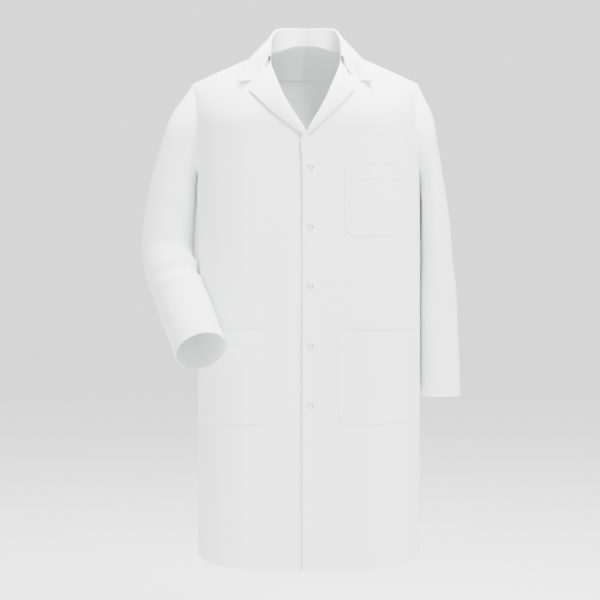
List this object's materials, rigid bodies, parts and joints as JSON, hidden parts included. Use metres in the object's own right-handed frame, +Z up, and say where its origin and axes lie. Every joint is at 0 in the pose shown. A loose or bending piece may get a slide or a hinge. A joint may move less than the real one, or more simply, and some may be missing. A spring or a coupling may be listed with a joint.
{
  "type": "lab coat",
  "caption": "White knee-length laboratory coat with notched lapels, chest and hip patch pockets and a snap front; one sleeve hangs straight, the other is bent forward",
  "frame": {"origin": "Centre of the neck opening at the height of the back neck seam, where a hanger or a dress form carries the coat.", "axes": "+Z up, -Y is the front of the coat, +X is the wearer's left."},
  "size_m": [0.6535, 0.357, 1.0996],
  "materials": {
    "outer_cloth": "matte",
    "inner_cloth": "matte",
    "snap_metal": "polished"
  },
  "bodies": {
    "torso": {"left_back": "outer_cloth", "right_back": "outer_cloth", "left_front_top": "outer_cloth", "right_front_top": "outer_cloth", "left_front_side": "outer_cloth", "right_front_side": "outer_cloth", "left_lapel": "outer_cloth", "right_lapel": "outer_cloth", "back_neck_facing": "inner_cloth", "upper_collar": "outer_cloth", "under_collar": "inner_cloth", "right_pocket_side": "outer_cloth", "left_sleeve_head": "outer_cloth", "right_sleeve_head": "outer_cloth"},
    "left_front_flap": {"left_front": "outer_cloth", "left_front_facing": "inner_cloth", "chest_pocket": "outer_cloth", "left_pocket": "outer_cloth", "snap_outer_rings": "snap_metal", "snap_sockets": "snap_metal"},
    "right_front_flap": {"right_front": "outer_cloth", "right_front_facing": "inner_cloth", "right_pocket": "outer_cloth", "snap_studs": "snap_metal", "snap_inner_rings": "snap_metal"},
    "left_upper_sleeve": {"left_sleeve_upper": "outer_cloth", "left_sleeve_elbow": "outer_cloth"},
    "left_lower_sleeve": {"left_sleeve_lower": "outer_cloth", "left_cuff_hem": "inner_cloth"},
    "right_upper_sleeve": {"right_sleeve_upper": "outer_cloth", "right_sleeve_elbow": "outer_cloth"},
    "right_lower_sleeve": {"right_sleeve_lower": "outer_cloth", "right_cuff_hem": "inner_cloth"}
  },
  "joints": [
    {"name": "left_front_open", "type": "hinge", "parent": "torso", "child": "left_front_flap", "pos_m": [0.2118, -0.0733, -0.6], "axis": [0, 0, 1], "range_deg": [0, 95], "deforming": ["left_front_top", "left_lapel"]},
    {"name": "right_front_open", "type": "hinge", "parent": "torso", "child": "right_front_flap", "pos_m": [-0.1283, -0.1381, -0.6], "axis": [0, 0, -1], "range_deg": [0, 57], "deforming": ["right_front_top", "right_lapel", "right_pocket_side"]},
    {"name": "left_shoulder_raise", "type": "hinge", "parent": "torso", "child": "left_upper_sleeve", "pos_m": [0.236, 0, -0.165], "axis": [0, -1, 0], "range_deg": [0, 42], "deforming": ["left_sleeve_head"]},
    {"name": "left_elbow_bend", "type": "hinge", "parent": "left_upper_sleeve", "child": "left_lower_sleeve", "pos_m": [0.2645, 0.007, -0.43], "axis": [-1, 0, 0], "range_deg": [0, 90], "deforming": ["left_sleeve_elbow"]},
    {"name": "right_shoulder_raise", "type": "hinge", "parent": "torso", "child": "right_upper_sleeve", "pos_m": [-0.236, 0, -0.165], "axis": [0, 1, 0], "range_deg": [0, 42], "deforming": ["right_sleeve_head"]},
    {"name": "right_elbow_bend", "type": "hinge", "parent": "right_upper_sleeve", "child": "right_lower_sleeve", "pos_m": [-0.287, 0.005, -0.43], "axis": [-0.8398, -0.527, 0.1304], "range_deg": [-48, 5], "deforming": ["right_sleeve_elbow"]}
  ],
  "couplings": [
    {"joint": "right_front_open", "follows": "left_front_open", "ratio": 0.6}
  ]
}
